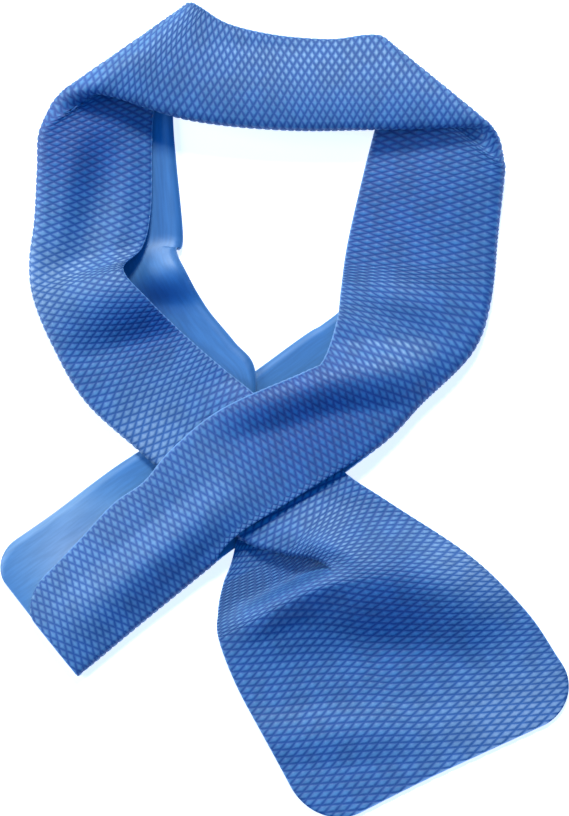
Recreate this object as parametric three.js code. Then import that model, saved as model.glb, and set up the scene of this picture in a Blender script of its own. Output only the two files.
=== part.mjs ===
// A cooling neck wrap: one long sheet of water-holding sponge with raised diamonds on its outer face.
// It is folded lengthwise with the diamonds outside and lies flat in the loop that it makes round a
// neck. One end passes between the two layers of the other, out through a slit in that end's fold,
// and spreads into a flat fan. The origin is under the middle of the lay, on the surface.
import * as THREE from 'three';

// Driving dimensions, in millimetres
const LAY_WIDTH = 259;        // side to side, from the tail's corner to the fan's corner
const LAY_LENGTH = 372;       // from the peak of the neck band down to the end of the fan
const WALL = 1.5;             // thickness of the sponge sheet
const LAYER_CLEARANCE = 0.4;  // air between two layers that lie on each other
const TAIL_CORNER = 16;       // radius of the two corners at the tail's end
const FAN_CORNER = 22;        // radius of the two corners at the fan's end
const SLIT_BOW = 4;           // how far the upper lip of the slit draws back over the fan
const SLIT_UNDER_BOW = 1;     // how far the lower lip draws out under the fan
const SLIT_LIP = 3;           // width of the strip along each lip that follows its bow

// Fineness of the faceted surface
const STATION_LENGTH = 13;    // longest stretch between two stations along the sheet
const LEAST_STEPS = 2;        // fewest stations between two rows of the tables
const FRONT_CELLS = 8;        // cells across the front layer, from its free edge to the fold
const FOLD_CELLS = 3;         // cells across each half of the lengthwise fold
const RUN_CELLS = 2;          // cells across the tucked run under the fold
const TUCK_CELLS = 3;         // cells round the turn that ends the tucked run
const BACK_CELLS = 4;         // cells across the rest of the back layer
const CORNER_STEPS = 3;       // stations round each cut corner

// Each row of the tables is one section across the sheet. It names three points, seen from above:
// the lengthwise fold, the free edge of the front layer and the free edge of the back layer.
// X is a share of the lay's width and Y of its length, from the middle of the lay. Height is in
// layers, each one wall and one clearance thick, above the sheet's lowest place. After them come:
//   round     radius of the lengthwise fold, in layers
//   turn      how far the strip has rolled over, in whole turns
//   open      0 where the strip is folded, 1 where it is spread flat
//   tuck      how far the back layer runs in under the fold before it turns back, in layers
//   under     0 where the back layer doesn't turn back, 1 where it does
//   frontRise, backRise   how far the middle of each layer swells, in layers
const COLUMNS = ['foldX', 'foldY', 'foldUp', 'frontX', 'frontY', 'frontUp', 'backX', 'backY', 'backUp',
  'round', 'turn', 'open', 'tuck', 'under', 'frontRise', 'backRise'];

const TAIL = [
  [-.364, -.330, 0.9, -.469, -.239, 1.1, -.526, -.186, 0, 0.9, 0, 0, 0, 0, 1.0, 0],
  [-.254, -.266, 1.1, -.369, -.168, 1.1, -.410, -.130, 0, 1.1, 0, 0, 0, 0, 1.5, 0],
  [-.180, -.224, 1.4, -.302, -.118, 1.7, -.340, -.093, 0, 1.4, 0, 0, 0, 0, 1.6, 0],
];
const SLIT_SECTIONS = [
  [-.127, -.194, 1.8, -.247, -.090, 3.2, -.288, -.067, 0, 1.8, 0, 0, 0, 0, 1.0, 0],
  [-.073, -.165, 2.7, -.198, -.050, 4.1, -.222, -.038, 0, 2.7, 0, 0, 0, 0, 0.4, 0],
  [.023, -.122, 2.8, -.110, -.001, 4.1, -.131, .005, 0, 2.8, 0, 0, 0, 0, 0.4, 0],
  [.173, -.045, 2.0, .037, .044, 3.2, .028, .086, 0, 2.0, 0, 0, 0, 0, 0.6, 0],
];
const RIGHT_SIDE = [
  [.245, .006, 1.8, .070, .059, 2.6, .067, .103, 0, 1.8, 0, 0, 0, 0, 0.6, 0],
  [.333, .068, 1.6, .093, .108, 2.6, .107, .127, 0, 1.6, 0, 0, 0, 0, 0.9, 0],
  [.366, .133, 1.5, .100, .145, 2.2, .127, .163, 0, 1.5, 0, 0, 0, 0, 0.9, 0],
  [.377, .206, 1.5, .111, .200, 1.8, .141, .206, 0, 1.5, 0, 0, 0, 0, 0.6, 0],
  [.388, .278, 2.2, .137, .280, 1.6, .158, .280, 0, 2.0, 0, 0, 0, 0, 0.3, 0],
];
const RIGHT_TURN = [
  [.389, .298, 3.0, .176, .390, 1.2, .183, .390, 0.0, 2.2, .04, 0, 0, 0, 0, 0],
  [.375, .319, 5.2, .178, .436, 1.7, .186, .440, 1.3, 2.2, .25, 0, 0, 0, 0, 0],
  [.356, .340, 7.2, .167, .451, 2.4, .172, .455, 3.6, 2.0, .42, 0, 0, 0, 0, 0],
];
const NECK_BAND = [
  [.314, .344, 7.4, .141, .454, 3.0, .141, .457, 4.4, 1.8, .5, 0, 0, 0, -0.2, -0.8],
  [.169, .341, 6.6, .081, .449, 3.0, .081, .452, 4.4, 1.8, .5, 0, 0, 0, -0.3, -0.9],
  [.001, .340, 6.4, -.014, .454, 2.9, -.014, .457, 4.2, 1.8, .5, 0, 0, 0, -0.4, -1.0],
  [-.166, .352, 6.8, -.099, .469, 3.0, -.099, .471, 4.4, 1.8, .5, 0, 0, 0, -0.3, -0.9],
  [-.307, .382, 7.9, -.149, .486, 3.0, -.149, .492, 4.5, 1.9, .5, 0, 0, 0, -0.2, -0.8],
];
const LEFT_TURN = [
  [-.353, .382, 7.8, -.161, .489, 2.3, -.163, .496, 3.8, 2.2, .58, 0, 0, 0, 0, 0],
  [-.395, .370, 5.2, -.168, .480, 1.8, -.176, .488, 1.4, 2.4, .75, 0, 0, 0, 0, 0],
  [-.431, .341, 3.0, -.205, .427, 1.2, -.184, .427, 0.0, 2.2, .96, 0, 0, 0, 0, 0],
];
const LEFT_SIDE = [
  [-.436, .292, 2.5, -.231, .360, 1.4, -.196, .356, 0.0, 2.4, 1, 0, 0, 0, 0.7, 0],
  [-.441, .231, 2.6, -.235, .249, 2.0, -.1785, .2125, 0.1, 2.5, 1, 0, 0, 0, 0.3, 0],
  [-.450, .179, 2.4, -.249, .199, 3.0, -.190, .194, 0.2, 2.3, 1, 0, 0, 0, 0.4, 0],
  [-.443, .135, 2.1, -.283, .170, 3.6, -.173, .167, 0.6, 1.9, 1, 0, 0, 0, 0.6, 0],
  [-.410, .078, 1.8, -.237, .132, 2.4, -.136, .123, 0.6, 1.6, 1, 0, 0, 0, -0.2, 0],
  [-.351, .008, 1.6, -.166, .084, 1.9, -.0885, .0825, 0.8, 1.3, 1, 0, 0, 0, 0.2, 0],
];
const PASSED_THROUGH = [
  [-.254, -.054, 1.8, -.099, .044, 2.2, -.051, .046, 1.1, 0.70, 1, 0, 0, 0, 0.2, 0],
  [-.166, -.107, 2.8, -.029, .004, 2.3, -.057, -.039, 1.1, 0.65, 1, 0, 14, 0, 0.1, 0],
  [-.076, -.162, 3.0, .060, -.050, 2.4, -.0875, -.173, 1.1, 0.65, 1, 0, 6, 1, 0.1, 0],
];
const FAN = [
  [.000, -.179, 3.9, .116, -.084, 2.4, -.108, -.217, 0.7, 0.85, 1, 0, 4, 1, 0.2, -0.6],
  [.060, -.187, 5.4, .183, -.115, 1.7, -.117, -.250, 0.7, 1.05, 1, .1, 1.2, 1, 0.3, -1.2],
  [.102, -.214, 5.4, .331, -.184, 2.4, -.115, -.284, 1.0, 1.00, 1, 1, 0, 1, 0.4, 0],
  [.137, -.284, 0.6, .428, -.250, 1.2, -.081, -.346, 0.1, 1.00, 1, 1, 0, 1, 0.2, 0.1],
  [.201, -.358, 0.0, .484, -.307, 0.3, -.014, -.432, 0.0, 1.00, 1, 1, 0, 1, 0, 0],
  [.292, -.443, 0.0, .5375, -.3645, 0.0, .056, -.525, 0.0, 1.00, 1, 1, 0, 1, 0, 0],
];
const SECTIONS = [...TAIL, ...SLIT_SECTIONS, ...RIGHT_SIDE, ...RIGHT_TURN, ...NECK_BAND, ...LEFT_TURN,
  ...LEFT_SIDE, ...PASSED_THROUGH, ...FAN];

// Swells and dents of the layers that lie on top, one a row. X and Y are the middle, in shares of
// the lay as above. Heading is the crest's way, in degrees. Long and wide are half its length and
// half its width, in shares of the lay's width. Rise is in layers. Front is 1 where the front layer
// has the swell and 0 where the back layer has it.
const SWELL_COLUMNS = ['x', 'y', 'heading', 'long', 'wide', 'rise', 'front'];
const SWELLS = [
  [.190, -.212, -16, .28, .116, 3.8, 1],
  [.300, -.235, -50, .11, .080, 1.6, 1],
  [.001, -.235, 28, .14, .050, 2.8, 1],
  [.080, -.235, 5, .21, .116, 1.8, 1],
  [.080, -.401, 3, .30, .062, 1.15, 1],
  [.150, .040, 3, .18, .066, 4.2, 1],
  [-.015, .013, 14, .16, .060, 3.2, 1],
  [.204, .133, -20, .10, .042, 0.8, 1],
  [-.290, .135, 14, .18, .090, 5.0, 1],
  [-.335, .247, 80, .18, .056, -2.4, 1],
  [-.198, .168, 0, .078, .062, 3.0, 0],
  [-.230, -.186, 38, .25, .060, 2.6, 1],
  [-.364, -.135, 38, .060, .032, 0.6, 0],
  [-.034, .442, -5, .13, .018, -0.4, 0],
];
const SWELL_FADE = 0.25;      // share of a folded layer, next to the fold, over which its swells fade

// Sizes that follow from the driving ones
const LAYER = WALL + LAYER_CLEARANCE;
const slitStart = TAIL.length;
const slitEnd = TAIL.length + SLIT_SECTIONS.length - 1;
const lastRow = SECTIONS.length - 1;

// The section at any place along the tables: a smooth curve through each column.
function sectionAt(place) {
  const before = Math.min(Math.floor(place), lastRow - 1);
  const f = place - before;
  const row = (k) => SECTIONS[THREE.MathUtils.clamp(k, 0, lastRow)];
  const column = (c) => {
    const p1 = row(before)[c];
    const p2 = row(before + 1)[c];
    const p0 = before === 0 ? 2 * p1 - p2 : row(before - 1)[c];
    const p3 = before === lastRow - 1 ? 2 * p2 - p1 : row(before + 2)[c];
    return p1 + 0.5 * f * (p2 - p0 + f * (2 * p0 - 5 * p1 + 4 * p2 - p3 + f * (3 * (p1 - p2) + p3 - p0)));
  };
  return Object.fromEntries(COLUMNS.map((name, c) => [name, column(c)]));
}

const point = (x, y, up) => new THREE.Vector3(x * LAY_WIDTH, y * LAY_LENGTH, WALL / 2 + up * LAYER);
const along = (start, direction, length) => start.clone().addScaledVector(direction, length);

// How far a place is off the slit's middle, as a share of the way to the slit's two ends.
function offSlitMiddle(place) {
  const half = (slitEnd - slitStart) / 2;
  return THREE.MathUtils.clamp((place - slitStart - half) / half, -1, 1);
}

// The frame of one section: its fold, its free edges, the way across it and the way out of its front.
// The tables name the outside of the fold, half a wall from the middle surface. In the slit the two
// lips part, and how far they gape and draw back grows from none at its ends to all at its middle.
function frameAt(place) {
  const s = sectionAt(place);
  const fold = point(s.foldX, s.foldY, s.foldUp);
  const frontEdge = point(s.frontX, s.frontY, s.frontUp);
  const backEdge = point(s.backX, s.backY, s.backUp);
  const across = frontEdge.clone().sub(fold).setZ(0).normalize();
  fold.addScaledVector(across, WALL / 2);
  const turn = 2 * Math.PI * s.turn;
  const out = new THREE.Vector3(-Math.sin(turn) * across.y, Math.sin(turn) * across.x, Math.cos(turn));
  return {
    fold, frontEdge, backEdge, across, out,
    radius: s.round * LAYER,
    foldAngle: Math.PI * (1 - THREE.MathUtils.clamp(s.open, 0, 1)),
    tuckLength: Math.max(0, s.tuck) * LAYER,
    tuckShare: THREE.MathUtils.clamp(s.under, 0, 1),
    frontRise: s.frontRise * LAYER,
    backRise: s.backRise * LAYER,
    gape: Math.sqrt(1 - offSlitMiddle(place) ** 4),
    draw: 1 - offSlitMiddle(place) ** 2,
  };
}

// A layer from where it leaves a fold to its free edge: it sets out the way the fold points it,
// swells in its middle and runs straight into the edge.
function layerStretch(start, leave, edge, out, rise) {
  const span = edge.clone().sub(start);
  const length = span.length();
  const at = (w) => start.clone()
    .addScaledVector(span, w * w * (2 - w))
    .addScaledVector(leave, length * w * (1 - w) * (1 - w))
    .addScaledVector(out, 4 * w * (1 - w) * rise);
  return { length, at };
}

// One section as stretches in order: the front layer, the two halves of the lengthwise fold, the
// tucked run under it, the turn that ends the run, and the back layer. Angles are measured round
// the fold from its front: 0 leads away from the front layer, half a turn leads back under it.
function stretchesOf(frame) {
  const { fold, across, out, radius, foldAngle, gape, draw } = frame;
  const facing = (angle) => out.clone().multiplyScalar(Math.cos(angle))
    .addScaledVector(across, -Math.sin(angle));
  const heading = (angle) => out.clone().multiplyScalar(-Math.sin(angle))
    .addScaledVector(across, -Math.cos(angle));
  const centre = along(fold, facing(foldAngle / 2), -radius);
  const onFold = (angle) => along(centre, facing(angle), radius);

  const lip = (angle, bow) => along(along(fold, facing(angle), radius), across, bow * draw);
  const frontLip = lip(0, SLIT_BOW);
  const backLip = lip(foldAngle, -SLIT_UNDER_BOW);
  const shoulder = (angle, lipPoint) => onFold(angle).lerp(along(lipPoint, across, SLIT_LIP), gape);
  const frontShoulder = shoulder(0, frontLip);
  const backShoulder = shoulder(foldAngle, backLip);
  const foldHalf = (start, lipPoint, angle) => ({
    length: radius * foldAngle / 2,
    at: (w) => onFold(THREE.MathUtils.lerp(angle, foldAngle / 2, w))
      .lerp(start.clone().lerp(lipPoint, w), gape),
  });

  const tuckAngle = foldAngle * frame.tuckShare;
  const runEnd = along(backShoulder, heading(foldAngle), frame.tuckLength);
  const tuckCentre = along(runEnd, facing(foldAngle), radius);
  const onTuck = (w) => along(tuckCentre, facing(foldAngle - w * tuckAngle), -radius);

  const front = layerStretch(frontShoulder, across, frame.frontEdge, out, frame.frontRise);
  const back = layerStretch(onTuck(1), heading(foldAngle - tuckAngle), frame.backEdge, out,
    frame.backRise);
  const firstHalf = foldHalf(frontShoulder, frontLip, 0);
  const secondHalf = foldHalf(backShoulder, backLip, foldAngle);
  return [
    { length: front.length, at: (w) => front.at(1 - w) },
    firstHalf,
    { length: secondHalf.length, at: (w) => secondHalf.at(1 - w) },
    { length: frame.tuckLength, at: (w) => along(backShoulder, heading(foldAngle), w * frame.tuckLength) },
    { length: radius * tuckAngle, at: onTuck },
    back,
  ];
}

// The places of the points across one section, as lengths from the front layer's free edge. Each
// bend gets its own share of the points in as far as it is bent, and the rest lie evenly.
function pointPlaces(frame, stretches, inset) {
  const ends = [inset];
  let total = 0;
  for (const { length } of stretches) {
    total += length;
    ends.push(total);
  }
  ends[ends.length - 1] = total - inset;
  const spread = (from, to, cells) => Array.from({ length: cells }, (_, n) => from + (to - from) * n / cells);
  const backCells = RUN_CELLS + TUCK_CELLS + BACK_CELLS;
  const bent = [...spread(ends[3], ends[4], RUN_CELLS), ...spread(ends[4], ends[5], TUCK_CELLS),
    ...spread(ends[5], ends[6], BACK_CELLS)];
  const straight = spread(ends[3], ends[6], backCells);
  const tucked = frame.tuckShare * frame.foldAngle / Math.PI;
  const folded = [...spread(ends[0], ends[1], FRONT_CELLS), ...spread(ends[1], ends[2], FOLD_CELLS),
    ...spread(ends[2], ends[3], FOLD_CELLS),
    ...bent.map((place, n) => THREE.MathUtils.lerp(straight[n], place, tucked)), ends[6]];
  const even = [...spread(ends[0], ends[6], folded.length - 1), ends[6]];
  const share = frame.foldAngle / Math.PI;
  return folded.map((place, n) => THREE.MathUtils.lerp(even[n], place, share));
}

// The point at a length along a section's stretches.
function pointAt(stretches, place) {
  let left = place;
  for (const { length, at } of stretches.slice(0, -1)) {
    if (left < length) return at(left / length);
    left -= length;
  }
  const { length, at } = stretches[stretches.length - 1];
  return at(Math.min(1, left / length));
}

// The stations along the sheet: enough between two rows that none is longer than the set length,
// and a few close ones round the cut corners.
function stationPlaces() {
  const places = [];
  for (let k = 0; k < lastRow; k += 1) {
    const a = frameAt(k);
    const b = frameAt(k + 1);
    const longest = Math.max(a.fold.distanceTo(b.fold), a.frontEdge.distanceTo(b.frontEdge),
      a.backEdge.distanceTo(b.backEdge));
    const steps = Math.max(LEAST_STEPS, Math.ceil(longest / STATION_LENGTH));
    for (let n = 0; n < steps; n += 1) places.push(k + n / steps);
  }
  places.push(lastRow);
  return cornerPlaces(places);
}

// The length of sheet that one row of the tables spans at an end.
const endPitch = (end) => frameAt(end).fold.distanceTo(frameAt(end === 0 ? 1 : lastRow - 1).fold);
const tailPitch = endPitch(0);
const fanPitch = endPitch(lastRow);

function cornerPlaces(places) {
  const kept = places.filter((p) => p * tailPitch > TAIL_CORNER && (lastRow - p) * fanPitch > FAN_CORNER);
  for (let n = 0; n <= CORNER_STEPS; n += 1) {
    const sink = 1 - Math.cos((n / CORNER_STEPS) * Math.PI / 2);
    kept.push(TAIL_CORNER * sink / tailPitch, lastRow - FAN_CORNER * sink / fanPitch);
  }
  return kept.sort((a, b) => a - b);
}

// How far the free edges step in at a place, where the end's corners are cut round.
function cornerInset(place) {
  const inset = (radius, distance) => {
    const d = Math.max(0, radius - distance);
    return radius - Math.sqrt(Math.max(0, radius * radius - d * d));
  };
  return inset(TAIL_CORNER, place * tailPitch) + inset(FAN_CORNER, (lastRow - place) * fanPitch);
}

// How far the swells raise a point. Each is a smooth bump that is nought from its edge on. They
// fade towards the fold, but not where the sheet is spread flat, where the front ones reach everywhere.
// Off is how far the point lies from the fold, as a share of the front layer, and less than nought
// on that layer.
function swellAt(point, off, open) {
  const fade = THREE.MathUtils.smoothstep(Math.abs(off), 0, SWELL_FADE);
  const reach = [(off > 0 ? fade : 0) * (1 - open), (off < 0 ? fade : 0) * (1 - open) + open];
  let raised = 0;
  for (const row of SWELLS) {
    const swell = Object.fromEntries(SWELL_COLUMNS.map((name, c) => [name, row[c]]));
    const heading = THREE.MathUtils.degToRad(swell.heading);
    const dx = point.x - swell.x * LAY_WIDTH;
    const dy = point.y - swell.y * LAY_LENGTH;
    const u = (dx * Math.cos(heading) + dy * Math.sin(heading)) / (swell.long * LAY_WIDTH);
    const v = (dy * Math.cos(heading) - dx * Math.sin(heading)) / (swell.wide * LAY_WIDTH);
    const bump = Math.max(0, 1 - u * u) ** 2 * Math.max(0, 1 - v * v) ** 2;
    raised += swell.rise * LAYER * bump * reach[swell.front];
  }
  return raised;
}

// The middle surface: one row of points for each station, from the front layer's free edge over the
// fold to the back layer's. The fold's tip is given twice, and in the slit the two differ.
const tip = FRONT_CELLS + FOLD_CELLS;
function middleSurface() {
  return stationPlaces().map((place) => {
    const frame = frameAt(place);
    const stretches = stretchesOf(frame);
    const toFold = stretches[0].length + stretches[1].length;
    const open = 1 - frame.foldAngle / Math.PI;
    const places = pointPlaces(frame, stretches, cornerInset(place));
    const points = places.map((t) => pointAt(stretches, t));
    points.forEach((p, n) => { p.z += swellAt(p, places[n] / toFold - 1, open); });
    const cut = place > slitStart && place < slitEnd;
    const tips = cut ? [stretches[1].at(1), stretches[2].at(0)] : [points[tip], points[tip].clone()];
    points.splice(tip, 1, ...tips);
    for (const p of points) p.z = Math.max(p.z, WALL / 2);
    return { cut, points };
  });
}

// The wall's direction at each point: square to the surface, worked out from its neighbours. At the
// fold's tip the two layers share one direction, except in the slit.
function wallDirections(rows) {
  const last = rows.length - 1;
  const width = rows[0].points.length;
  return rows.map(({ cut }, i) => rows[i].points.map((_, j) => {
    let low = Math.max(0, j - 1);
    let high = Math.min(width - 1, j + 1);
    if (j === tip) high = cut ? tip : tip + 2;
    if (j === tip + 1) low = cut ? tip + 1 : tip - 1;
    const before = rows[Math.max(0, i - 1)].points[j];
    const after = rows[Math.min(last, i + 1)].points[j];
    const step = after.clone().sub(before);
    const side = rows[i].points[high].clone().sub(rows[i].points[low]);
    return side.cross(step).normalize();
  }));
}

// The sheet as one closed body: an outer and an inner face half a wall from the middle surface, with
// a rim along the free edges, the two ends and the slit's lips, with the middle of its box over the
// origin.
function sheetBody() {
  const rows = middleSurface();
  const directions = wallDirections(rows);
  const positions = [];
  const ids = rows.map(({ points, cut }, i) => points.map((p, j) => {
    if (j === tip + 1 && !cut) return null;
    for (const half of [WALL / 2, -WALL / 2]) {
      positions.push(...along(p, directions[i][j], half).toArray());
    }
    return positions.length / 3 - 2;
  }));
  for (const row of ids) row[tip + 1] ??= row[tip];

  const faces = [];
  const quad = (a, b, c, d) => {
    if (a !== b && b !== c) faces.push(a, b, c);
    if (c !== d && d !== a) faces.push(a, c, d);
  };
  const rim = (a, b) => quad(b, a, a + 1, b + 1);
  const last = ids.length - 1;
  const width = ids[0].length;
  for (let i = 0; i < last; i += 1) {
    const here = ids[i];
    const next = ids[i + 1];
    for (let j = 0; j < width - 1; j += 1) {
      if (j === tip) continue;
      quad(here[j], here[j + 1], next[j + 1], next[j]);
      quad(here[j] + 1, next[j] + 1, next[j + 1] + 1, here[j + 1] + 1);
    }
    rim(next[0], here[0]);
    rim(here[width - 1], next[width - 1]);
    if (rows[i].cut || rows[i + 1].cut) {
      rim(here[tip], next[tip]);
      rim(next[tip + 1], here[tip + 1]);
    }
  }
  for (let j = 0; j < width - 1; j += 1) {
    if (j === tip) continue;
    rim(ids[0][j], ids[0][j + 1]);
    rim(ids[last][j + 1], ids[last][j]);
  }
  const geometry = new THREE.BufferGeometry();
  geometry.setAttribute('position', new THREE.Float32BufferAttribute(positions, 3));
  geometry.setIndex(faces);
  geometry.computeBoundingBox();
  const middleOfLay = geometry.boundingBox.getCenter(new THREE.Vector3());
  geometry.translate(-middleOfLay.x, -middleOfLay.y, 0);
  geometry.computeVertexNormals();
  return geometry;
}

const sponge = new THREE.MeshStandardMaterial({ color: 0x4a78bd, roughness: 0.85, metalness: 0 });
const wrap = new THREE.Mesh(sheetBody(), sponge);
wrap.name = 'wrap_sheet';

const group = new THREE.Group();
group.add(wrap);
export default group;
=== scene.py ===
import math

import bpy
import numpy as np
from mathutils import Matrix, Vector


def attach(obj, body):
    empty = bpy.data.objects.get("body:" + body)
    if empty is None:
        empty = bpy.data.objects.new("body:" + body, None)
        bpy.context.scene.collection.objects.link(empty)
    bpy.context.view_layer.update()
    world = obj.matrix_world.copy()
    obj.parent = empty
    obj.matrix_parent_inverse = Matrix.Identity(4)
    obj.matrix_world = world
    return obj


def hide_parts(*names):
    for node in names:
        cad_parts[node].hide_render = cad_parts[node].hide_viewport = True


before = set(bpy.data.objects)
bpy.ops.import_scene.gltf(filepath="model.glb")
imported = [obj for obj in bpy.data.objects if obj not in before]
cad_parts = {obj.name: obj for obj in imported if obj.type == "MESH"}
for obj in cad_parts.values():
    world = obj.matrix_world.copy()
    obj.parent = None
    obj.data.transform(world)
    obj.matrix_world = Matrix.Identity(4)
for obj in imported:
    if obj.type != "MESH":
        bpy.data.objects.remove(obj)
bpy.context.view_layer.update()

# Driving dimensions, in metres. The lay is the folded sheet as it rests, seen from above.
LAY_WIDTH = 0.259
LAY_LENGTH = 0.372
SHEET_WIDTH = 0.132
SHEET_LENGTH = 0.840
WALL = 0.0015
LAYER_CLEARANCE = 0.0004
TAIL_CORNER = 0.016
FAN_CORNER = 0.022
SLIT_BOW = 0.004
SLIT_UNDER_BOW = 0.001
SLIT_LIP = 0.003

# The raised diamonds of the outer face
DIAMONDS_ACROSS = 16      # whole diamonds side by side over the sheet's width
DIAMONDS_ALONG = 268      # whole diamonds end to end over its length
DIAMOND_RELIEF = 0.00042  # from the bottom of a groove to the top of a pillow
GROOVE_DEPTH = 0.00026    # how much of that lies below the plain face
CELLS = 4                 # cells of the outer face in one diamond, each way
INNER_STEP = 2            # cells of the outer face in one of the inner face, each way
END_STEPS = (0.04, 0.16, 0.36, 0.64)  # shares of one cell, for close rows at the rounded ends

# Each row is one section across the sheet, as in the part's own source: shares of the lay's width
# and length for the lengthwise fold and the free edges of the front and back layer, each with its
# height in layers, and then the shape of the bend between them. That is the fold's radius in
# layers, how far the front's face is turned over as a share of a whole turn, 1 where the fold is
# opened flat, the run tucked in past the fold in layers, the share of the fold's angle by which
# that run turns back, and how far the middle of the front and of the back stands out in layers.
COLUMNS = ["fold_x", "fold_y", "fold_up", "front_x", "front_y", "front_up", "back_x", "back_y", "back_up",
           "round", "turn", "open", "tuck", "under", "front_rise", "back_rise"]
TAIL = [
    [-.364, -.330, 0.9, -.469, -.239, 1.1, -.526, -.186, 0, 0.9, 0, 0, 0, 0, 1.0, 0],
    [-.254, -.266, 1.1, -.369, -.168, 1.1, -.410, -.130, 0, 1.1, 0, 0, 0, 0, 1.5, 0],
    [-.180, -.224, 1.4, -.302, -.118, 1.7, -.340, -.093, 0, 1.4, 0, 0, 0, 0, 1.6, 0],
]
SLIT_SECTIONS = [
    [-.127, -.194, 1.8, -.247, -.090, 3.2, -.288, -.067, 0, 1.8, 0, 0, 0, 0, 1.0, 0],
    [-.073, -.165, 2.7, -.198, -.050, 4.1, -.222, -.038, 0, 2.7, 0, 0, 0, 0, 0.4, 0],
    [.023, -.122, 2.8, -.110, -.001, 4.1, -.131, .005, 0, 2.8, 0, 0, 0, 0, 0.4, 0],
    [.173, -.045, 2.0, .037, .044, 3.2, .028, .086, 0, 2.0, 0, 0, 0, 0, 0.6, 0],
]
RIGHT_SIDE = [
    [.245, .006, 1.8, .070, .059, 2.6, .067, .103, 0, 1.8, 0, 0, 0, 0, 0.6, 0],
    [.333, .068, 1.6, .093, .108, 2.6, .107, .127, 0, 1.6, 0, 0, 0, 0, 0.9, 0],
    [.366, .133, 1.5, .100, .145, 2.2, .127, .163, 0, 1.5, 0, 0, 0, 0, 0.9, 0],
    [.377, .206, 1.5, .111, .200, 1.8, .141, .206, 0, 1.5, 0, 0, 0, 0, 0.6, 0],
    [.388, .278, 2.2, .137, .280, 1.6, .158, .280, 0, 2.0, 0, 0, 0, 0, 0.3, 0],
]
RIGHT_TURN = [
    [.389, .298, 3.0, .176, .390, 1.2, .183, .390, 0.0, 2.2, .04, 0, 0, 0, 0, 0],
    [.375, .319, 5.2, .178, .436, 1.7, .186, .440, 1.3, 2.2, .25, 0, 0, 0, 0, 0],
    [.356, .340, 7.2, .167, .451, 2.4, .172, .455, 3.6, 2.0, .42, 0, 0, 0, 0, 0],
]
NECK_BAND = [
    [.314, .344, 7.4, .141, .454, 3.0, .141, .457, 4.4, 1.8, .5, 0, 0, 0, -0.2, -0.8],
    [.169, .341, 6.6, .081, .449, 3.0, .081, .452, 4.4, 1.8, .5, 0, 0, 0, -0.3, -0.9],
    [.001, .340, 6.4, -.014, .454, 2.9, -.014, .457, 4.2, 1.8, .5, 0, 0, 0, -0.4, -1.0],
    [-.166, .352, 6.8, -.099, .469, 3.0, -.099, .471, 4.4, 1.8, .5, 0, 0, 0, -0.3, -0.9],
    [-.307, .382, 7.9, -.149, .486, 3.0, -.149, .492, 4.5, 1.9, .5, 0, 0, 0, -0.2, -0.8],
]
LEFT_TURN = [
    [-.353, .382, 7.8, -.161, .489, 2.3, -.163, .496, 3.8, 2.2, .58, 0, 0, 0, 0, 0],
    [-.395, .370, 5.2, -.168, .480, 1.8, -.176, .488, 1.4, 2.4, .75, 0, 0, 0, 0, 0],
    [-.431, .341, 3.0, -.205, .427, 1.2, -.184, .427, 0.0, 2.2, .96, 0, 0, 0, 0, 0],
]
LEFT_SIDE = [
    [-.436, .292, 2.5, -.231, .360, 1.4, -.196, .356, 0.0, 2.4, 1, 0, 0, 0, 0.7, 0],
    [-.441, .231, 2.6, -.235, .249, 2.0, -.1785, .2125, 0.1, 2.5, 1, 0, 0, 0, 0.3, 0],
    [-.450, .179, 2.4, -.249, .199, 3.0, -.190, .194, 0.2, 2.3, 1, 0, 0, 0, 0.4, 0],
    [-.443, .135, 2.1, -.283, .170, 3.6, -.173, .167, 0.6, 1.9, 1, 0, 0, 0, 0.6, 0],
    [-.410, .078, 1.8, -.237, .132, 2.4, -.136, .123, 0.6, 1.6, 1, 0, 0, 0, -0.2, 0],
    [-.351, .008, 1.6, -.166, .084, 1.9, -.0885, .0825, 0.8, 1.3, 1, 0, 0, 0, 0.2, 0],
]
PASSED_THROUGH = [
    [-.254, -.054, 1.8, -.099, .044, 2.2, -.051, .046, 1.1, 0.70, 1, 0, 0, 0, 0.2, 0],
    [-.166, -.107, 2.8, -.029, .004, 2.3, -.057, -.039, 1.1, 0.65, 1, 0, 14, 0, 0.1, 0],
    [-.076, -.162, 3.0, .060, -.050, 2.4, -.0875, -.173, 1.1, 0.65, 1, 0, 6, 1, 0.1, 0],
]
FAN = [
    [.000, -.179, 3.9, .116, -.084, 2.4, -.108, -.217, 0.7, 0.85, 1, 0, 4, 1, 0.2, -0.6],
    [.060, -.187, 5.4, .183, -.115, 1.7, -.117, -.250, 0.7, 1.05, 1, .1, 1.2, 1, 0.3, -1.2],
    [.102, -.214, 5.4, .331, -.184, 2.4, -.115, -.284, 1.0, 1.00, 1, 1, 0, 1, 0.4, 0],
    [.137, -.284, 0.6, .428, -.250, 1.2, -.081, -.346, 0.1, 1.00, 1, 1, 0, 1, 0.2, 0.1],
    [.201, -.358, 0.0, .484, -.307, 0.3, -.014, -.432, 0.0, 1.00, 1, 1, 0, 1, 0, 0],
    [.292, -.443, 0.0, .5375, -.3645, 0.0, .056, -.525, 0.0, 1.00, 1, 1, 0, 1, 0, 0],
]
SECTIONS = np.array(TAIL + SLIT_SECTIONS + RIGHT_SIDE + RIGHT_TURN + NECK_BAND + LEFT_TURN
                    + LEFT_SIDE + PASSED_THROUGH + FAN, float)
LAST = len(SECTIONS) - 1
SLIT_START = len(TAIL)
SLIT_END = len(TAIL) + len(SLIT_SECTIONS) - 1

# The fold lies off the sheet's middle at the tail, by one diamond, and runs to the middle later.
FOLD_SHARE_PLACES = [0, SLIT_END, SLIT_END + 5, LAST]
FOLD_SHARES = [7 / 16, 7 / 16, 8 / 16, 8 / 16]
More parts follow.
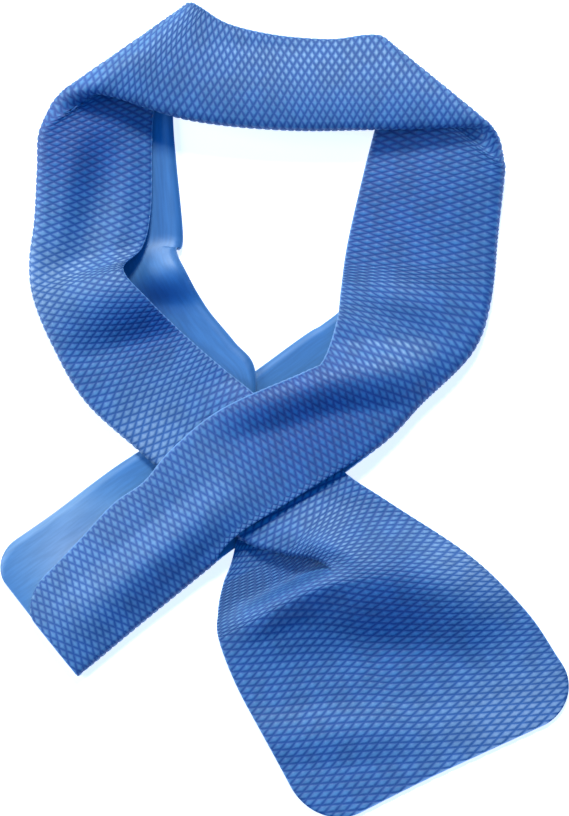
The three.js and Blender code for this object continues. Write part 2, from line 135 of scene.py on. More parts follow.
# Lines square across the sheet: the place where each meets the front edge, the fold and the back edge.
SQUARE_LINES = np.array([
    [0, 0, 0], [3, 3, 3], [5.1, 5, 5.1], [6.5, 6, 6.4], [8.0, 7, 7.9], [9.2, 8, 9.0], [9.6, 9, 9.6],
    [10.35, 10, 10.3], [11.05, 11, 11.05], [11.2, 12, 11.2], [11.4, 13, 11.4], [11.63, 14, 11.63],
    [11.9, 15, 11.9], [14.1, 16, 14.1], [17, 17, 17], [18.7, 18, 18.7], [20.2, 18.5, 20.2],
    [21.8, 19, 21.8], [22.4, 20, 22.4], [22.8, 21, 22.7], [23.2, 22, 23.1], [23.67, 23, 23.5],
    [24.6, 24, 24.3], [25.67, 25, 25.2], [26, 26, 25.7], [27, 27, 26.4], [27.8, 28, 27.2], [28.8, 29, 28.3],
    [30, 30, 29.8], [31, 31, 31], [32, 32, 32], [34, 34, 34], [LAST, LAST, LAST]])

# Swells and dents that stand out of the plain fold, one a row: the middle in shares of the lay, the
# heading of the crest in degrees, half its length and half its width in shares of the lay's width,
# its rise in layers, and 1 where the front layer has it or 0 where the back layer has it.
SWELL_COLUMNS = ["x", "y", "heading", "long", "wide", "rise", "front"]
SWELLS = [
    [.190, -.212, -16, .28, .116, 3.8, 1],
    [.300, -.235, -50, .11, .080, 1.6, 1],
    [.001, -.235, 28, .14, .050, 2.8, 1],
    [.080, -.235, 5, .21, .116, 1.8, 1],
    [.080, -.401, 3, .30, .062, 1.15, 1],
    [.150, .040, 3, .18, .066, 4.2, 1],
    [-.015, .013, 14, .16, .060, 3.2, 1],
    [.204, .133, -20, .10, .042, 0.8, 1],
    [-.290, .135, 14, .18, .090, 5.0, 1],
    [-.335, .247, 80, .18, .056, -2.4, 1],
    [-.198, .168, 0, .078, .062, 3.0, 0],
    [-.230, -.186, 38, .25, .060, 2.6, 1],
    [-.364, -.135, 38, .060, .032, 0.6, 0],
    [-.034, .442, -5, .13, .018, -0.4, 0],
]
SWELL_FADE = 0.25         # share of a folded layer, next to the fold, over which its swells fade

# Patches of painted light and shade, where the sheet is painted paler or darker, one a row: the
# middle, half the length and half the width in shares of the sheet, along it and across it from
# the front edge, and the paleness, which is the natural logarithm of the change in red.
LIGHT_AND_SHADE_COLUMNS = ["along", "across", "long", "wide", "pale"]
LIGHT_AND_SHADE_PATCHES = [
    [.02, .20, .04, .35, 0.4],
    [.04, .80, .06, .45, 1.7],
    [.17, .12, .06, .45, -1.6],
    [.32, .05, .10, .50, -1.1],
    [.58, .32, .045, .45, -1.8],
    [.655, .50, .035, .45, 1.0],
    [.685, .80, .025, .30, -2.0],
    [.70, .05, .03, .30, -1.4],
    [.745, .50, .035, .50, 1.1],
    [.785, .05, .045, .35, -1.3],
    [.87, .65, .045, .30, -0.6],
    [.91, .03, .05, .22, 1.1],
    [.92, .37, .045, .24, -0.7],
    [.99, .20, .05, .55, 1.1],
]
PALE_SHARES = (1, 0.42, 0.15)  # of a patch's paleness, for red, green and blue

BUNCHING = 6              # power of the mean that sets the sheet's length between two square lines
RAIL_STEPS = 24           # places between two rows of the tables, where the rails are measured
LAYER = WALL + LAYER_CLEARANCE
TINY = 1e-12              # stands in for a length of nothing where one is divided by


def section_at(place):
    """The tables' columns at each place: a Catmull-Rom curve through each column's rows, which
    run straight on past the first and the last one."""
    rows = np.vstack([2 * SECTIONS[0] - SECTIONS[1], SECTIONS, 2 * SECTIONS[-1] - SECTIONS[-2]])
    before = np.clip(np.floor(place).astype(int), 0, LAST - 1)
    f = (place - before)[:, None]
    p0, p1, p2, p3 = (rows[before + k] for k in range(4))
    values = p1 + 0.5 * f * (p2 - p0 + f * (2 * p0 - 5 * p1 + 4 * p2 - p3 + f * (3 * (p1 - p2) + p3 - p0)))
    return dict(zip(COLUMNS, values.T))


def unit(v):
    """Each vector over its own length."""
    return v / np.maximum(np.linalg.norm(v, axis=-1, keepdims=True), TINY)


def frame_at(place):
    """The fold, the free edges, the way across and the way out of the front at each place. The fold
    is stepped in by half a wall, because the tables give its outside. In the slit, gape is the
    square root of 1 - off to the fourth and draw is 1 - off squared, where off is the way from the
    slit's middle as a share of half its length."""
    s = section_at(place)

    def point(name):
        return np.stack([s[name + "_x"] * LAY_WIDTH, s[name + "_y"] * LAY_LENGTH,
                         WALL / 2 + s[name + "_up"] * LAYER], axis=1)

    fold, front, back = point("fold"), point("front"), point("back")
    across = unit((front - fold) * [1, 1, 0])
    fold = fold + across * (WALL / 2)
    turn = 2 * math.pi * s["turn"]
    out = np.stack([-np.sin(turn) * across[:, 1], np.sin(turn) * across[:, 0], np.cos(turn)], axis=1)
    half = (SLIT_END - SLIT_START) / 2
    off = np.clip((place - SLIT_START - half) / half, -1, 1)
    return {
        "fold": fold, "front": front, "back": back, "across": across, "out": out,
        "radius": s["round"] * LAYER,
        "fold_angle": math.pi * (1 - np.clip(s["open"], 0, 1)),
        "tuck": np.maximum(s["tuck"], 0) * LAYER,
        "under": np.clip(s["under"], 0, 1),
        "front_rise": s["front_rise"] * LAYER,
        "back_rise": s["back_rise"] * LAYER,
        "gape": np.sqrt(np.maximum(0, 1 - off ** 4)),
        "draw": 1 - off ** 2,
    }


def layer(start, leave, edge, out, rise):
    """A layer from its fold to its free edge at w from 0 to 1: start + span * w * w * (2 - w)
    + leave * length * w * (1 - w) squared + out * 4 * w * (1 - w) * rise."""
    span = edge - start
    length = np.linalg.norm(span, axis=1)

    def at(w):
        w = w[:, None]
        return (start + span * w * w * (2 - w) + leave * length[:, None] * w * (1 - w) ** 2
                + out * 4 * w * (1 - w) * rise[:, None])

    return length, at


def stretches_of(f):
    """The six stretches of each section, as (length, function of a share from 0 to 1): the front
    layer from its free edge, two halves of the fold as arcs, the tucked run, its turn as an arc,
    and the back layer. In the slit the two halves part into lips."""
    out, across, radius, angle, gape = f["out"], f["across"], f["radius"], f["fold_angle"], f["gape"]

    def facing(a):
        return out * np.cos(a)[:, None] - across * np.sin(a)[:, None]

    def heading(a):
        return -out * np.sin(a)[:, None] - across * np.cos(a)[:, None]

    def mix(a, b, w):
        return a + (b - a) * w[:, None]

    centre = f["fold"] - facing(angle / 2) * radius[:, None]
    zero = np.zeros_like(angle)

    def on_fold(a):
        return centre + facing(a) * radius[:, None]

    def lip(a, bow):
        return f["fold"] + facing(a) * radius[:, None] + across * (bow * f["draw"])[:, None]

    def shoulder(a, lip_point):
        return mix(on_fold(a), lip_point + across * SLIT_LIP, gape)

    front_lip, back_lip = lip(zero, SLIT_BOW), lip(angle, -SLIT_UNDER_BOW)
    front_shoulder, back_shoulder = shoulder(zero, front_lip), shoulder(angle, back_lip)

    def fold_half(start, lip_point, a):
        return lambda w: mix(on_fold(a + (angle / 2 - a) * w), mix(start, lip_point, w), gape)

    tuck_angle = angle * f["under"]
    run_end = back_shoulder + heading(angle) * f["tuck"][:, None]
    tuck_centre = run_end + facing(angle) * radius[:, None]

    def on_tuck(w):
        return tuck_centre - facing(angle - w * tuck_angle) * radius[:, None]

    front_length, front_at = layer(front_shoulder, across, f["front"], out, f["front_rise"])
    back_length, back_at = layer(on_tuck(zero + 1), heading(angle - tuck_angle), f["back"], out,
                                 f["back_rise"])
    first, second = fold_half(front_shoulder, front_lip, zero), fold_half(back_shoulder, back_lip, angle)
    return [
        (front_length, lambda w: front_at(1 - w)),
        (radius * angle / 2, first),
        (radius * angle / 2, lambda w: second(1 - w)),
        (f["tuck"], lambda w: back_shoulder + heading(angle) * (w * f["tuck"])[:, None]),
        (radius * tuck_angle, on_tuck),
        (back_length, back_at),
    ]


def fold_share(place):
    """Where the fold is, as a share of the sheet's width from the front edge."""
    return np.interp(place, FOLD_SHARE_PLACES, FOLD_SHARES)


def sheet_points(place, share, past_fold):
    """The middle surface at each place and share of the width. Before the fold the share runs
    evenly over the front layer and the fold's first half, and past it over all the rest."""
    stretches = stretches_of(frame_at(place))
    bend = fold_share(place)
    points = np.zeros((len(place), 3))
    sides = ((False, stretches[:2], share / bend), (True, stretches[2:], (share - bend) / (1 - bend)))
    for side, parts, walked_share in sides:
        walked = sum(length for length, _ in parts) * np.clip(walked_share, 0, 1)
        start = np.zeros(len(place))
        for length, at in parts:
            here = (past_fold == side) & (walked >= start)
            w = np.clip((walked - start) / np.maximum(length, TINY), 0, 1)
            points = np.where(here[:, None], at(w), points)
            start = start + length
    points[:, 2] += swell(points, place, share / bend, past_fold)
    points[:, 2] = np.maximum(points[:, 2], WALL / 2)
    return points


def bump(u, v):
    """(1 - u * u) squared * (1 - v * v) squared, and 0 where u or v is past 1."""
    return np.maximum(0, 1 - u * u) ** 2 * np.maximum(0, 1 - v * v) ** 2


def swell(points, place, share, past_fold):
    """How far each point is raised: the rise of each swell times its bump, where u and v are the ways
    along and across its crest in half lengths and half widths. It fades towards the fold as a
    smooth step, but not where the sheet is spread flat."""
    opened = np.clip(section_at(place)["open"], 0, 1)
    left = np.clip(np.abs(1 - share) / SWELL_FADE, 0, 1)
    faded = left * left * (3 - 2 * left)
    reach = {1: np.where(past_fold, 0, faded) * (1 - opened) + opened,
             0: np.where(past_fold, faded, 0) * (1 - opened)}
    raised = np.zeros(len(points))
    for values in SWELLS:
        row = dict(zip(SWELL_COLUMNS, values))
        heading = math.radians(row["heading"])
        dx, dy = points[:, 0] - row["x"] * LAY_WIDTH, points[:, 1] - row["y"] * LAY_LENGTH
        u = (dx * math.cos(heading) + dy * math.sin(heading)) / (row["long"] * LAY_WIDTH)
        v = (dy * math.cos(heading) - dx * math.sin(heading)) / (row["wide"] * LAY_WIDTH)
        raised += row["rise"] * LAYER * bump(u, v) * reach[row["front"]]
    return raised


def square_lines():
    """How far along the sheet each of its three rails is, at close places: the rail's own length,
    stretched between the square lines so that all three agree there and the last is 1. From one
    line to the next they agree on nearly the longer of the front's and the fold's own lengths, a
    mean of powers, because the sheet bunches up where a rail is short but doesn't stretch."""
    place = np.linspace(0, LAST, LAST * RAIL_STEPS + 1)
    f = frame_at(place)
    walked = [np.concatenate([[0], np.cumsum(np.linalg.norm(np.diff(f[name], axis=0), axis=1))])
              for name in ("front", "fold", "back")]
    at_square = [np.interp(line, place, w) for line, w in zip(SQUARE_LINES.T, walked)]
    lengths = np.diff(at_square[:2], axis=1)
    agreed = np.cumsum(np.append(0, np.mean(lengths ** BUNCHING, axis=0) ** (1 / BUNCHING)))
    rails = [np.interp(w, own, agreed) / agreed[-1] for w, own in zip(walked, at_square)]
    return place, rails


def places_on(column, along):
    """The place where each line square across the sheet meets one column, which is a share of the
    width: the rails' measures are mixed evenly between an edge and the fold, and read backwards."""
    place, (front, fold, back) = square_lines()
    bend = fold_share(place)
    to_fold = np.clip(column / bend, 0, 1)
    to_back = np.clip((column - bend) / (1 - bend), 0, 1)
    measure = front + (fold - front) * to_fold + (back - fold) * to_back
    return np.interp(along, np.maximum.accumulate(measure), place)


def corner_inset(along):
    """How far the free edges step in near the two ends: radius minus the square root of radius
    squared less the rest of the radius squared, as on a quarter circle."""
    inset = np.zeros_like(along)
    for radius, way in ((TAIL_CORNER, along), (FAN_CORNER, 1 - along)):
        rest = np.maximum(0, radius - way * SHEET_LENGTH)
        inset += radius - np.sqrt(np.maximum(0, radius ** 2 - rest ** 2))
    return inset


def relief(across, along):
    """The height of the diamonds over the bottom of the grooves, from 0 to 1. Grooves run where
    across plus along, or across minus along, is a whole number of diamonds, and a pillow's height
    is 1 minus the third power of what is left from its edge to its middle."""
    def to_groove(x):
        return np.abs(x - np.round(x)) * 2

    left = 1 - np.minimum(to_groove(across + along), to_groove(across - along))
    return 1 - left ** 3


def surface_grid():
    """The middle surface as rows of points square across the sheet, their coordinates counted in
    diamonds, and the rows that the slit cuts. The fold's column is there twice, once for each lip."""
    cells = DIAMONDS_ALONG * CELLS
    ends = np.array(END_STEPS) / cells
    along = np.unique(np.concatenate([np.arange(cells + 1) / cells, ends, 1 - ends]))
    columns = np.arange(DIAMONDS_ACROSS * CELLS + 1) / (DIAMONDS_ACROSS * CELLS)
    lip = int(round(FOLD_SHARES[0] * DIAMONDS_ACROSS * CELLS))
    columns = np.insert(columns, lip, columns[lip])
    place = np.stack([places_on(column, along) for column in columns], axis=1)
    inset = (corner_inset(along) / SHEET_WIDTH)[:, None]
    share = inset + columns[None, :] * (1 - 2 * inset)
    bend = fold_share(place)
    past_fold = (share > bend) | ((share == bend) & (np.arange(len(columns)) > lip))
    points = sheet_points(place.ravel(), share.ravel(), past_fold.ravel()).reshape(*share.shape, 3)
    lengthwise = np.broadcast_to(along[:, None], share.shape)
    coords = np.stack([share * DIAMONDS_ACROSS, lengthwise * DIAMONDS_ALONG], axis=2)
    inside = np.flatnonzero((place[:, lip] > SLIT_START) & (place[:, lip] < SLIT_END))
    first = inside[0] + inside[0] % INNER_STEP
    last = inside[-1] - inside[-1] % INNER_STEP
    return points, coords, lip, slice(first + 1, last)


def wall_directions(points, lip, cut):
    """Square to the surface: the step to the next column crossed with the step to the next row. At
    the fold's column the two lips share one direction, except in the slit."""
    parts = [np.cross(np.gradient(p, axis=1), np.gradient(p, axis=0))
             for p in (points[:, :lip + 1], points[:, lip + 1:])]
    shared = unit(parts[0][:, -1]) + unit(parts[1][:, 0])
    shared[cut] = 0
    joined = np.linalg.norm(shared, axis=1) > 0
    parts[0][joined, -1] = shared[joined]
    parts[1][joined, 0] = shared[joined]
    return unit(np.concatenate(parts, axis=1))


def grid_triangles(ids, inward):
    """Two triangles for each cell. The cells' diagonals take turns, so that each groove of the
    diamonds runs along edges."""
    a, b, c, d = ids[:-1, :-1], ids[:-1, 1:], ids[1:, 1:], ids[1:, :-1]
    row, column = np.indices(a.shape)
    straight = ((row + column) % 2 == 0)[..., None]
    first = np.where(straight, np.stack([a, b, c], -1), np.stack([a, b, d], -1))
    second = np.where(straight, np.stack([a, c, d], -1), np.stack([b, c, d], -1))
    found = np.concatenate([first.reshape(-1, 3), second.reshape(-1, 3)])
    return found[:, ::-1] if inward else found


def rim_triangles(outer, inner):
    """The strip between a line of outer points and the coarser line of inner points beside it."""
    start = outer[:-1:INNER_STEP]
    middle = outer[1::INNER_STEP]
    end = outer[INNER_STEP::INNER_STEP]
    corners = [(start, middle, inner[:-1]), (middle, inner[1:], inner[:-1]), (middle, end, inner[1:])]
    return np.concatenate([np.stack(three, 1) for three in corners])


def build_sheet():
    """The whole sheet as one closed mesh: a fine outer face with the raised diamonds, a coarser
    smooth inner face, and a rim along the free edges, the two ends and the slit's lips."""
    points, coords, lip, cut = surface_grid()
    directions = wall_directions(points, lip, cut)
    height = WALL / 2 - GROOVE_DEPTH + DIAMOND_RELIEF * relief(coords[..., 0], coords[..., 1])
    outer = points + directions * height[..., None]
    inner = points - directions * (WALL / 2)

    rows, columns = points.shape[:2]
    ids = np.arange(rows * columns).reshape(rows, columns)
    welded = np.ones(rows, bool)
    welded[cut] = False
    ids[welded, lip + 1] = ids[welded, lip]
    under = ids + rows * columns
    step = INNER_STEP
    front, back = ids[:, :lip + 1], ids[:, lip + 1:]
    front_under, back_under = under[::step, :lip + 1:step], under[::step, lip + 1::step]
    slit = slice(cut.start - 1, cut.stop + 1)
    slit_under = slice((cut.start - 1) // step, cut.stop // step + 1)
    faces = [
        np.concatenate([grid_triangles(front, False), grid_triangles(back, False)]),
        np.concatenate([grid_triangles(front_under, True), grid_triangles(back_under, True)]),
        np.concatenate([
            rim_triangles(front[:, 0], front_under[:, 0]),
            rim_triangles(back[::-1, -1], back_under[::-1, -1]),
            rim_triangles(front[slit, -1][::-1], front_under[slit_under, -1][::-1]),
            rim_triangles(back[slit, 0], back_under[slit_under, 0]),
            rim_triangles(front[0, ::-1], front_under[0, ::-1]),
            rim_triangles(back[0, ::-1], back_under[0, ::-1]),
            rim_triangles(front[-1], front_under[-1]),
            rim_triangles(back[-1], back_under[-1]),
        ]),
    ]
    kinds = np.repeat(np.arange(len(faces)), [len(f) for f in faces])
    triangles = np.concatenate(faces)
    used, triangles = np.unique(triangles, return_inverse=True)
    triangles = triangles.reshape(-1, 3)
    vertices = np.concatenate([outer.reshape(-1, 3), inner.reshape(-1, 3)])
    middle = (vertices[used].min(axis=0) + vertices[used].max(axis=0)) / 2 * [1, 1, 0]
    both = np.concatenate([coords.reshape(-1, 2)] * 2)
    return vertices[used] - middle, both[used], triangles, kinds, middle


def painted_light_and_shade_tone(coords):
    """How the patches of painted light and shade change red, green and blue at each point: e to the
    power of the paleness of each patch times its bump, all added up, times the colour's share. U and
    v are the ways along and across the sheet from a patch's middle in half lengths and half widths."""
    across, along = coords[:, 0] / DIAMONDS_ACROSS, coords[:, 1] / DIAMONDS_ALONG
    pale = np.zeros(len(coords))
    for values in LIGHT_AND_SHADE_PATCHES:
        row = dict(zip(LIGHT_AND_SHADE_COLUMNS, values))
        u = (along - row["along"]) / row["long"]
        v = (across - row["across"]) / row["wide"]
        pale += row["pale"] * bump(u, v)
    return np.exp(pale[:, None] * PALE_SHARES)


def put_in(name, vertices, coords, triangles, kinds, materials):
    """A mesh of triangles with its coordinates and the tone of its patches of painted light and shade,
    which its materials read.
    """
    mesh = bpy.data.meshes.new(name)
    mesh.vertices.add(len(vertices))
    mesh.vertices.foreach_set("co", vertices.astype(np.float32).ravel())
    mesh.loops.add(triangles.size)
    mesh.loops.foreach_set("vertex_index", triangles.astype(np.int32).ravel())
    mesh.polygons.add(len(triangles))
    mesh.polygons.foreach_set("loop_start", np.arange(0, triangles.size, 3, dtype=np.int32))
    mesh.polygons.foreach_set("material_index", kinds.astype(np.int32))
    mesh.polygons.foreach_set("use_smooth", np.ones(len(triangles), bool))
    diamonds = mesh.uv_layers.new(name="diamonds")
    diamonds.data.foreach_set("uv", coords[triangles.ravel()].astype(np.float32).ravel())
    # The tone attribute holds the patches' painted light and shade.
    tone = mesh.attributes.new("tone", "FLOAT_VECTOR", "POINT")
    tone.data.foreach_set("vector", painted_light_and_shade_tone(coords).astype(np.float32).ravel())
    mesh.update()
    mesh.validate()
    for material in materials:
        mesh.materials.append(material)
    piece = bpy.data.objects.new(name, mesh)
    bpy.context.scene.collection.objects.link(piece)
    return piece


# Finishes. Colours are linear. Blotches and pores are counted to the metre.
PILLOW = (0.084, 0.222, 0.378)
# Painted shade: the grooves are painted darker than the pillows, fading out towards each pillow's middle.
GROOVE_SHADE = (0.006, 0.062, 0.228)
SMOOTH_FACE = (0.046, 0.176, 0.370)
# Painted highlight: a paler colour along the free edges and ends and on the wall's rim.
CUT_EDGE_HIGHLIGHT = (0.150, 0.300, 0.520)
GLOSS_TINT = (0.85, 0.97, 1.0)
GLOSS_LEVEL = 1.0
PILLOW_ROUGHNESS = 0.52
GROOVE_ROUGHNESS = 0.72
SMOOTH_FACE_ROUGHNESS = 0.54
CUT_EDGE_ROUGHNESS = 0.8
FLOOR_ROUGHNESS = 0.9
# The grooves' painted shade and their roughness both fade out over this share.
GROOVE_WIDTH = 0.85       # share of the way from a groove to a pillow's middle
# The width of the painted highlight along the free edges.
EDGE_HIGHLIGHT_WIDTH = 0.10     # of the lighter line along the free edges, in diamonds
END_EDGE_SHARE = 0.5      # how much a diamond along counts beside a diamond across, for that line
NOISE_SPAN = (0.3, 0.7)   # the part of a noise's values over which a tone changes
BLOTCHES = 90.0
BLOTCH_TONES = (0.90, 1.10)
PORES = 2600.0
PORE_HEIGHT = 0.25        # of the pores, in shares of a pillow's height
PILLOW_EDGE = 0.6         # share of the way from a groove where a pillow has its height
DIMPLE_STRENGTH = 0.6
DIMPLE_DEPTH = 0.0002     # in metres, as the bump of a pillow's full height
STREAK_STRETCH = (3.0, 0.12)  # of the streaks' noise over one diamond, across and along
STREAK_SCALE = 2.0
STREAK_DETAIL = 3.0
STREAK_TONES = (0.90, 1.08)
MIX_INPUTS = (0, 6, 7)    # sockets of a Mix node for colours: the share and the two colours
MIX_RESULT = 2


def new_material(name, roughness):
    """A material with the wet sponge's gloss, and with it its node tree and its shader."""
    material = bpy.data.materials.new(name)
    material.use_nodes = True
    tree = material.node_tree
    shader = tree.nodes["Principled BSDF"]
    shader.inputs["Roughness"].default_value = roughness
    shader.inputs["Specular IOR Level"].default_value = GLOSS_LEVEL
    shader.inputs["Specular Tint"].default_value = (*GLOSS_TINT, 1)
    return material, tree, shader


def add(tree, kind, settings=(), inputs=()):
    """A node with its settings, and with its inputs linked or set, and the node's first output."""
    made = tree.nodes.new(kind)
    for key, value in dict(settings).items():
        setattr(made, key, value)
    for key, value in dict(inputs).items():
        if isinstance(value, bpy.types.NodeSocket):
            tree.links.new(value, made.inputs[key])
        else:
            made.inputs[key].default_value = value
    return made.outputs[0]


def maths(tree, operation, *values):
    """The result of one operation on sockets or numbers."""
    return add(tree, "ShaderNodeMath", {"operation": operation}, dict(enumerate(values)))


def ramp(tree, value, low, high, start=0.0, end=1.0):
    """A smooth step from start where the value is low to end where it is high."""
    return add(tree, "ShaderNodeMapRange", {"interpolation_type": "SMOOTHSTEP"},
               {"Value": value, "From Min": low, "From Max": high, "To Min": start, "To Max": end})


def mixed(tree, share, a, b, way="MIX"):
    """Colour a where the share is 0, and b, or a times b, where it is 1."""
    made = tree.nodes.new("ShaderNodeMix")
    made.data_type = "RGBA"
    made.blend_type = way
    for key, value in zip(MIX_INPUTS, (share, a, b)):
        if isinstance(value, bpy.types.NodeSocket):
            tree.links.new(value, made.inputs[key])
        else:
            made.inputs[key].default_value = (*value, 1) if isinstance(value, tuple) else value
    return made.outputs[MIX_RESULT]


def sheet_coords(tree):
    """The place on the sheet, counted in diamonds across and along."""
    uv = tree.nodes.new("ShaderNodeUVMap")
    uv.uv_map = "diamonds"
    split = tree.nodes.new("ShaderNodeSeparateXYZ")
    tree.links.new(uv.outputs[0], split.inputs[0])
    return split.outputs[0], split.outputs[1]


def edge_highlight_share(tree, across, along):
    """1 on the free edges and ends and 0 further in than the width of the painted highlight along the cut
    edge.
    """
    to_sides = maths(tree, "MINIMUM", across, maths(tree, "SUBTRACT", DIAMONDS_ACROSS, across))
    to_ends = maths(tree, "MINIMUM", along, maths(tree, "SUBTRACT", DIAMONDS_ALONG, along))
    narrow = maths(tree, "MINIMUM", to_sides, maths(tree, "MULTIPLY", to_ends, END_EDGE_SHARE))
    return ramp(tree, narrow, EDGE_HIGHLIGHT_WIDTH, 0.0)


def with_painted_light_and_shade(tree, colour):
    """A colour times the tone of the patches of painted light and shade."""
    tone = add(tree, "ShaderNodeAttribute", {"attribute_name": "tone"})
    return mixed(tree, 1.0, colour, tone, "MULTIPLY")


def fine_noise(tree, scale):
    """An even noise in the object's own place."""
    place = tree.nodes.new("ShaderNodeTexCoord").outputs["Object"]
    return add(tree, "ShaderNodeTexNoise", (), {"Vector": place, "Scale": scale})


def diamond_face():
    """The outer face: pillows, with painted shade that darkens the grooves, patches of painted light and
    shade, a painted highlight along the cut edge and faint blotches. The distance from a groove is
    twice the way from across plus along, or from across minus along, to the nearest whole number,
    whichever is less."""
    material, tree, shader = new_material("sponge diamond face", PILLOW_ROUGHNESS)
    across, along = sheet_coords(tree)
    to_groove = [maths(tree, "PINGPONG", maths(tree, way, across, along), 0.5)
                 for way in ("ADD", "SUBTRACT")]
    distance = maths(tree, "MULTIPLY", maths(tree, "MINIMUM", *to_groove), 2.0)
    # Painted shade in the grooves, darkest in each groove and gone near the pillow's middle.
    groove_shade = ramp(tree, distance, GROOVE_WIDTH, 0.0)
    uneven = ramp(tree, fine_noise(tree, BLOTCHES), *NOISE_SPAN, *BLOTCH_TONES)
    # Patches of painted light and shade.
    colour = with_painted_light_and_shade(tree, mixed(tree, groove_shade, PILLOW, GROOVE_SHADE))
    # Painted highlight along the free edges and ends.
    colour = mixed(tree, edge_highlight_share(tree, across, along), colour, CUT_EDGE_HIGHLIGHT)
    toned = add(tree, "ShaderNodeHueSaturation", (), {"Value": uneven, "Color": colour})
    tree.links.new(toned, shader.inputs["Base Color"])
    rough = ramp(tree, distance, GROOVE_WIDTH, 0.0, PILLOW_ROUGHNESS, GROOVE_ROUGHNESS)
    tree.links.new(rough, shader.inputs["Roughness"])
    pillow = ramp(tree, distance, 0.0, PILLOW_EDGE)
    height = maths(tree, "MULTIPLY_ADD", fine_noise(tree, PORES), PORE_HEIGHT, pillow)
    dimples = add(tree, "ShaderNodeBump", (), {"Strength": DIMPLE_STRENGTH, "Distance": DIMPLE_DEPTH,
                                               "Height": height})
    tree.links.new(dimples, shader.inputs["Normal"])
    return material


def smooth_face():
    """The inner face: plain, with the patches of painted light and shade, a painted highlight along the cut
    edge and faint streaks along the sheet.
    """
    material, tree, shader = new_material("sponge smooth face", SMOOTH_FACE_ROUGHNESS)
    across, along = sheet_coords(tree)
    x, y = (maths(tree, "MULTIPLY", way, stretch) for way, stretch in zip((across, along), STREAK_STRETCH))
    lengthened = add(tree, "ShaderNodeCombineXYZ", (), {"X": x, "Y": y})
    streaks = add(tree, "ShaderNodeTexNoise", (), {"Vector": lengthened, "Scale": STREAK_SCALE,
                                                   "Detail": STREAK_DETAIL})
    tone = ramp(tree, streaks, *NOISE_SPAN, *STREAK_TONES)
    # Painted highlight along the free edges and ends.
    colour = mixed(tree, edge_highlight_share(tree, across, along), SMOOTH_FACE, CUT_EDGE_HIGHLIGHT)
    # Patches of painted light and shade.
    colour = with_painted_light_and_shade(tree, colour)
    toned = add(tree, "ShaderNodeHueSaturation", (), {"Value": tone, "Color": colour})
    tree.links.new(toned, shader.inputs["Base Color"])
    return material


def cut_edge_highlight():
    """The rim of the wall, in one paler colour that is a painted highlight."""
    material, _, shader = new_material("sponge cut edge highlight", CUT_EDGE_ROUGHNESS)
    shader.inputs["Base Color"].default_value = (*CUT_EDGE_HIGHLIGHT, 1)
    return material


# The stage, the lamps and the camera. The lamps' power is in watts.
FLOOR_SIZE = 3.0
FLOOR_DROP = 0.0002       # below the sheet, so that the two don't share a plane
FLOOR_TONE = 0.86
FLOOR_GLOW = 0.74
FILL_COLOUR = (0.03, 0.34, 1.0)
FILL_STRENGTH = 0.74
KEY_LAMP = {"place": (-0.20, 3.7, 3.2), "size": 1.0, "power": 222}
SIDE_LAMP = {"place": (-1.9, 0.3, 0.8), "size": 0.9, "power": 26}
CAMERA_HEIGHT = 3.0
PICTURE_HEIGHT = 0.3733   # the floor's length that the picture's height shows
SENSOR = 36.0
PICTURE_MIDDLE = (0.00014, 0.00009)   # of the picture, from the middle of the lay before it is centred


def add_floor():
    """A pale square floor under the sheet, with a weak glow so that shadows on it stay light."""
    half = FLOOR_SIZE / 2
    corners = [(-half, -half, -FLOOR_DROP), (half, -half, -FLOOR_DROP), (half, half, -FLOOR_DROP),
               (-half, half, -FLOOR_DROP)]
    mesh = bpy.data.meshes.new("floor")
    mesh.from_pydata(corners, [], [(0, 1, 2, 3)])
    material, _, shader = new_material("pale floor", FLOOR_ROUGHNESS)
    shader.inputs["Base Color"].default_value = (FLOOR_TONE, FLOOR_TONE, FLOOR_TONE, 1)
    shader.inputs["Emission Color"].default_value = (1, 1, 1, 1)
    shader.inputs["Emission Strength"].default_value = FLOOR_GLOW
    mesh.materials.append(material)
    floor = bpy.data.objects.new("floor", mesh)
    bpy.context.scene.collection.objects.link(floor)


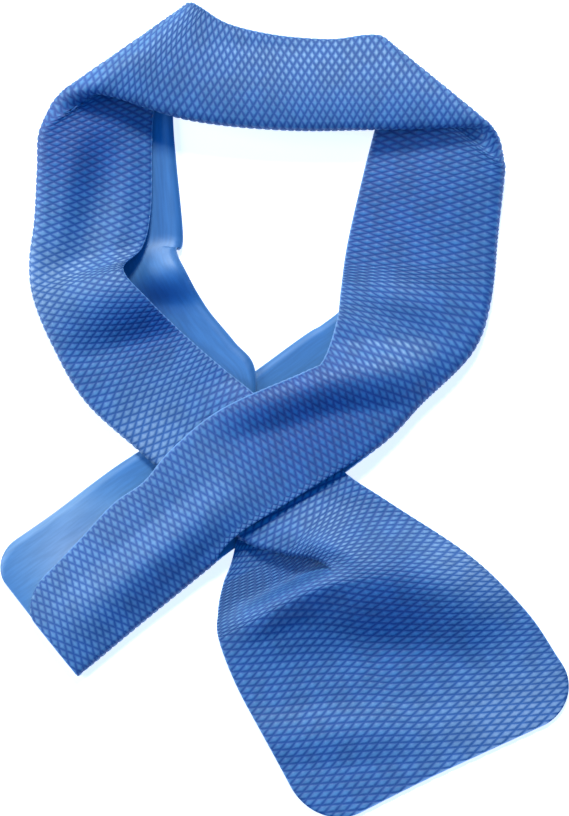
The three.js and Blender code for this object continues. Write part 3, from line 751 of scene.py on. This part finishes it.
def add_lamp(name, place, size, power):
    """A square soft lamp that faces the middle of the lay."""
    data = bpy.data.lights.new(name, "AREA")
    data.size, data.energy = size, power
    lamp = bpy.data.objects.new(name, data)
    lamp.location = place
    lamp.rotation_euler = (-Vector(place)).to_track_quat("-Z", "Y").to_euler()
    bpy.context.scene.collection.objects.link(lamp)


def add_light():
    """A blue fill from all round, which stands for the light that passes through the wet sponge, a
    key lamp and a weak side lamp. The camera itself sees white past the floor's end."""
    world = bpy.data.worlds.new("studio")
    world.use_nodes = True
    tree = world.node_tree
    seen = tree.nodes.new("ShaderNodeLightPath").outputs["Is Camera Ray"]
    fill = tree.nodes["Background"]
    fill.inputs["Color"].default_value = (*FILL_COLOUR, 1)
    fill.inputs["Strength"].default_value = FILL_STRENGTH
    white = tree.nodes.new("ShaderNodeBackground")
    both = tree.nodes.new("ShaderNodeMixShader")
    tree.links.new(seen, both.inputs[0])
    tree.links.new(fill.outputs[0], both.inputs[1])
    tree.links.new(white.outputs[0], both.inputs[2])
    white.inputs["Color"].default_value = (1, 1, 1, 1)
    tree.links.new(both.outputs[0], tree.nodes["World Output"].inputs["Surface"])
    bpy.context.scene.world = world
    add_lamp("key lamp", **KEY_LAMP)
    add_lamp("side lamp", **SIDE_LAMP)
    bpy.context.scene.view_settings.view_transform = "Standard"


def add_camera(shift):
    """A camera straight above, moved by as much as the sheet was when it was centred."""
    data = bpy.data.cameras.new("camera")
    data.sensor_width = SENSOR
    data.lens = SENSOR * CAMERA_HEIGHT / PICTURE_HEIGHT
    data.clip_end = 2 * CAMERA_HEIGHT
    camera = bpy.data.objects.new("camera", data)
    camera.location = (PICTURE_MIDDLE[0] - shift[0], PICTURE_MIDDLE[1] - shift[1], CAMERA_HEIGHT)
    bpy.context.scene.collection.objects.link(camera)
    bpy.context.scene.camera = camera


vertices, coords, triangles, kinds, middle = build_sheet()
finishes = [diamond_face(), smooth_face(), cut_edge_highlight()]
wrap = put_in("sponge_sheet", vertices, coords, triangles, kinds, finishes)
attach(wrap, "root")
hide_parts("wrap_sheet")
add_floor()
add_light()
add_camera(middle)
